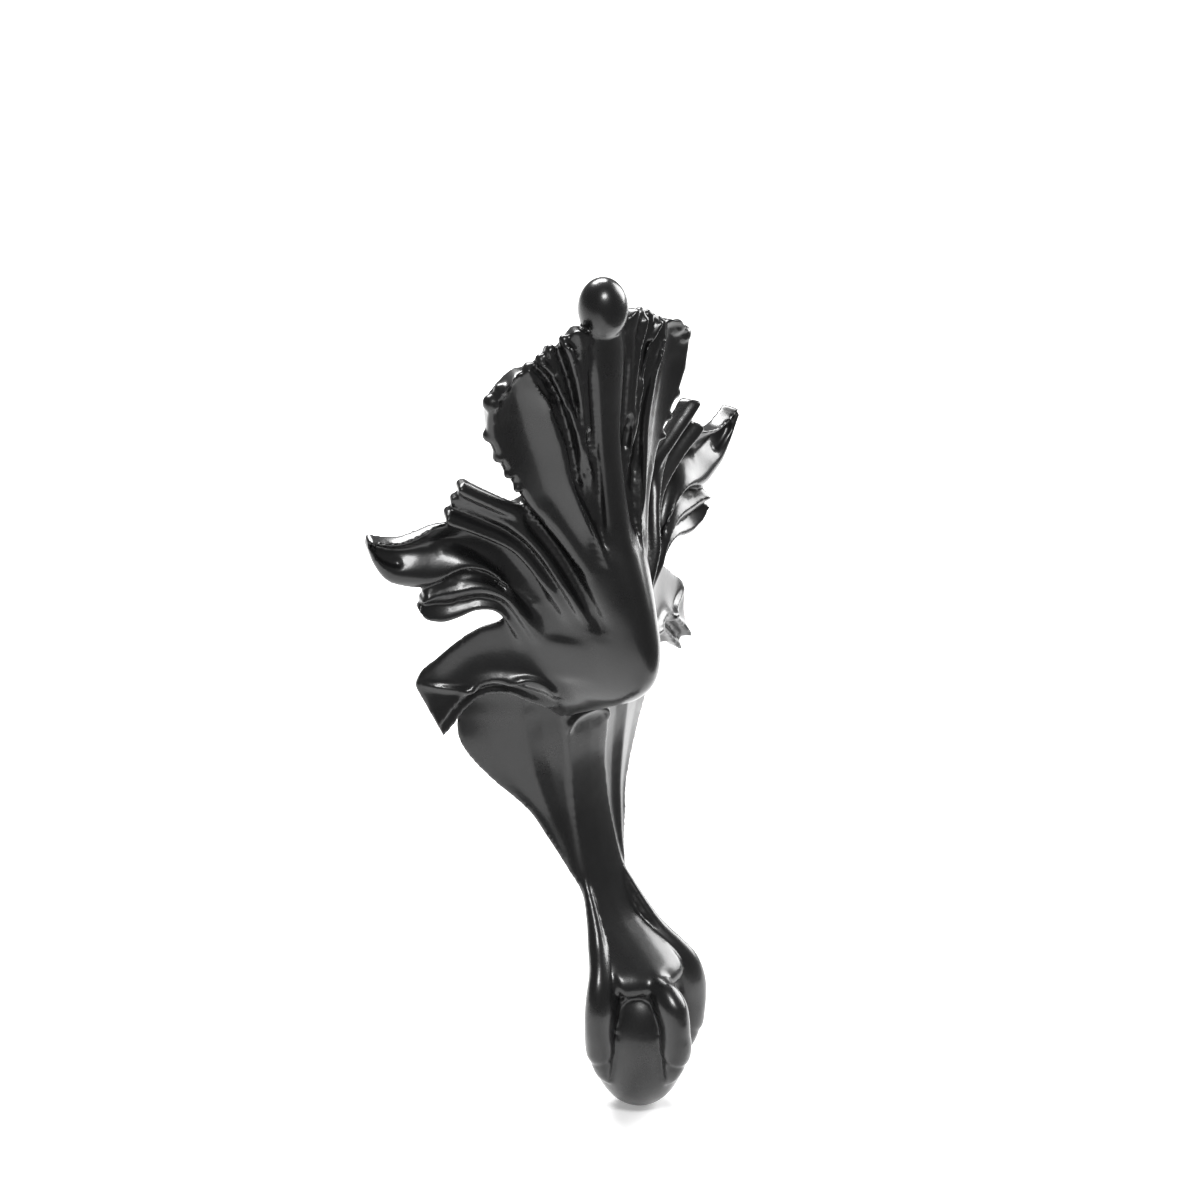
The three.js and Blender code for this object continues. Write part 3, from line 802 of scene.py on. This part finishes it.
class Paint:
    def __init__(self, name):
        self.material = bpy.data.materials.new(name)
        self.material.use_nodes = True
        self.tree = self.material.node_tree
        self.tree.nodes.clear()

    # Adds a node: its settings first, then the values or links of its sockets.
    def node(self, kind, settings=None, inputs=None, output=0):
        made = self.tree.nodes.new(kind)
        for name, value in (settings or {}).items():
            if name == "stops":
                ramp = made.color_ramp
                while len(ramp.elements) < len(value):
                    ramp.elements.new(1.0)
                for element, (at, colour) in zip(ramp.elements, value):
                    element.position = at
                    element.color = colour
            else:
                setattr(made, name, value)
        for name, value in (inputs or {}).items():
            if isinstance(value, Wire):
                self.tree.links.new(value.socket, made.inputs[name])
            else:
                made.inputs[name].default_value = value
        return Wire(self.tree, made.outputs[output]) if made.outputs else made

    def finish(self, shader):
        self.node("ShaderNodeOutputMaterial", None, {"Surface": shader})
        return self.material


blackPaint = {
    "dark": (0.005, 0.005, 0.0053, 1),
    "light": (0.009, 0.009, 0.0093, 1),
    "darkAt": 0.35, "lightAt": 0.7,
    "roughness": 0.3,
    "roughnessSpread": 0.12, "grainSpread": 0.08,
    "grain": (1600.0, 3.0),      # pits of the sand under the paint: per metre, and their detail
    "flow": (260.0, 2.0),        # slow waves of the paint film
    "patches": (45.0, 4.0),
    "patchesInShade": 0.7, "grainInShade": 0.3,
    "grainInHeight": 0.35, "flowInHeight": 0.65,
    "bump": 0.16, "bumpDepth": 0.0004,
    "specular": 0.5,
    "coat": 0.3, "coatRoughness": 0.14, "coatIndex": 1.5,
}


def makePaint():
    paint = Paint("satin_black_paint")
    place = paint.node("ShaderNodeTexCoord", output=3)

    def noise(name):
        scale, detail = blackPaint[name]
        return paint.node("ShaderNodeTexNoise", None, {"Vector": place, "Scale": scale, "Detail": detail})

    grain, flow, patches = noise("grain"), noise("flow"), noise("patches")
    stops = [(blackPaint["darkAt"], blackPaint["dark"]), (blackPaint["lightAt"], blackPaint["light"])]
    shade = paint.node("ShaderNodeValToRGB", {"stops": stops}, {
        "Fac": patches * blackPaint["patchesInShade"] + grain * blackPaint["grainInShade"],
    })
    rough = blackPaint["roughness"] + (patches - 0.5) * blackPaint["roughnessSpread"]
    rough = rough + (grain - 0.5) * blackPaint["grainSpread"]
    bump = paint.node("ShaderNodeBump", None, {
        "Strength": blackPaint["bump"], "Distance": blackPaint["bumpDepth"],
        "Height": grain * blackPaint["grainInHeight"] + flow * blackPaint["flowInHeight"],
    })
    shader = paint.node("ShaderNodeBsdfPrincipled", None, {
        "Base Color": shade, "Roughness": rough, "Normal": bump, "Specular IOR Level": blackPaint["specular"],
        "Coat Weight": blackPaint["coat"], "Coat Roughness": blackPaint["coatRoughness"],
        "Coat IOR": blackPaint["coatIndex"],
    })
    return paint.finish(shader)


studio = {
    "floorBack": 3.0,          # reach of the paper behind the foot, to its sides and in front, in metres
    "floorSide": 2.0,
    "floorFront": 0.225,
    "floorTurn": 32.0,         # degrees: its near edge runs past the foot on the right
    "floorCuts": 4,
    "floorColour": (0.86, 0.86, 0.86, 1),
    "floorGlow": 0.3,
    "ambient": 0.2,
    "aim": (0, 0, 0.17),       # of the lamps, in metres
    "pixel": 0.3647,           # millimetres to a pixel of the photograph's frame
    "footPixel": (639.3, 1100.9),
    "frame": 1200,
    "azimuth": -38.0,          # of the camera round the foot, nought from the front
    "elevation": 27.8,
    "away": 2.0,               # of the camera, and its clipping, in metres
    "clip": (0.05, 20),
}


def makeFloor():
    deselect()
    deep = studio["floorBack"] + studio["floorFront"]
    toMiddle = deep / 2 - studio["floorFront"]
    turn = math.radians(studio["floorTurn"])
    middle = (-math.sin(turn) * toMiddle, math.cos(turn) * toMiddle, 0)
    bpy.ops.mesh.primitive_plane_add(size=1, location=middle, rotation=(0, 0, turn))
    floor = bpy.context.object
    floor.name = "floor"
    floor.scale = (2 * studio["floorSide"], deep, 1)
    bpy.ops.object.transform_apply(location=True, rotation=True, scale=True)
    bpy.ops.object.mode_set(mode="EDIT")
    bpy.ops.mesh.subdivide(number_cuts=studio["floorCuts"])
    bpy.ops.object.mode_set(mode="OBJECT")
    paper = Paint("white_paper")
    kinds = ("Is Camera Ray", "Is Glossy Ray", "Is Transmission Ray")
    rays = [paper.node("ShaderNodeLightPath", output=kind) for kind in kinds]
    seen = rays[0].math("MAXIMUM", rays[0].math("MAXIMUM", rays[0], rays[1]), rays[2])
    plain = paper.node("ShaderNodeBsdfDiffuse", None, {"Color": studio["floorColour"], "Roughness": 0.0})
    glow = paper.node("ShaderNodeEmission", None, {"Color": (1, 1, 1, 1), "Strength": studio["floorGlow"]})
    lit = paper.node("ShaderNodeAddShader")
    paper.tree.links.new(plain.socket, lit.socket.node.inputs[0])
    paper.tree.links.new(glow.socket, lit.socket.node.inputs[1])
    both = paper.node("ShaderNodeMixShader", None, {0: seen, 1: plain, 2: lit})
    floor.data.materials.append(paper.finish(both))


def makeWorld():
    world = bpy.data.worlds.new("studio")
    bpy.context.scene.world = world
    world.use_nodes = True
    background = world.node_tree.nodes["Background"]
    background.inputs["Color"].default_value = (1, 1, 1, 1)
    background.inputs["Strength"].default_value = studio["ambient"]


lamps = [
    {"name": "back_softbox", "place": (0.3, 0.75, 1.0), "size": (0.8, 0.5), "power": 24},
    {"name": "left_softbox", "place": (-0.3, -0.6, 1.05), "size": (0.35, 0.25), "power": 8},
    {"name": "right_softbox", "place": (0.95, 0.0, 0.5), "size": (0.6, 0.7), "power": 14},
]


def makeLamps():
    for lamp in lamps:
        data = bpy.data.lights.new(lamp["name"], "AREA")
        data.shape = "RECTANGLE"
        data.size, data.size_y = lamp["size"]
        data.energy = lamp["power"]
        thing = bpy.data.objects.new(lamp["name"], data)
        bpy.context.scene.collection.objects.link(thing)
        thing.location = lamp["place"]
        aim = Vector(studio["aim"]) - Vector(lamp["place"])
        thing.rotation_euler = aim.to_track_quat("-Z", "Y").to_euler()
        thing.visible_camera = False


def makeCamera():
    data = bpy.data.cameras.new("camera")
    data.type = "ORTHO"
    data.ortho_scale = studio["frame"] * studio["pixel"] * mm
    camera = bpy.data.objects.new("camera", data)
    bpy.context.scene.collection.objects.link(camera)
    a, e = math.radians(studio["azimuth"]), math.radians(studio["elevation"])
    back = Vector((math.sin(a) * math.cos(e), -math.cos(a) * math.cos(e), math.sin(e)))
    right = Vector((math.cos(a), math.sin(a), 0))
    top = back.cross(right)
    px, py = studio["footPixel"]
    middle = studio["frame"] / 2
    target = right * ((middle - px) * studio["pixel"] * mm) + top * ((py - middle) * studio["pixel"] * mm)
    camera.location = target + back * studio["away"]
    camera.rotation_mode = "QUATERNION"
    camera.rotation_quaternion = (-back).to_track_quat("-Z", "Y")
    data.clip_start, data.clip_end = studio["clip"]
    bpy.context.scene.camera = camera


whole = makeCasting()
whole.data.materials.clear()
whole.data.materials.append(makePaint())
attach(whole, "root")
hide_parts("foot")
print("casting painted")

makeFloor()
makeWorld()
makeLamps()
makeCamera()
bpy.context.scene.view_settings.view_transform = "Standard"
print("studio ready")
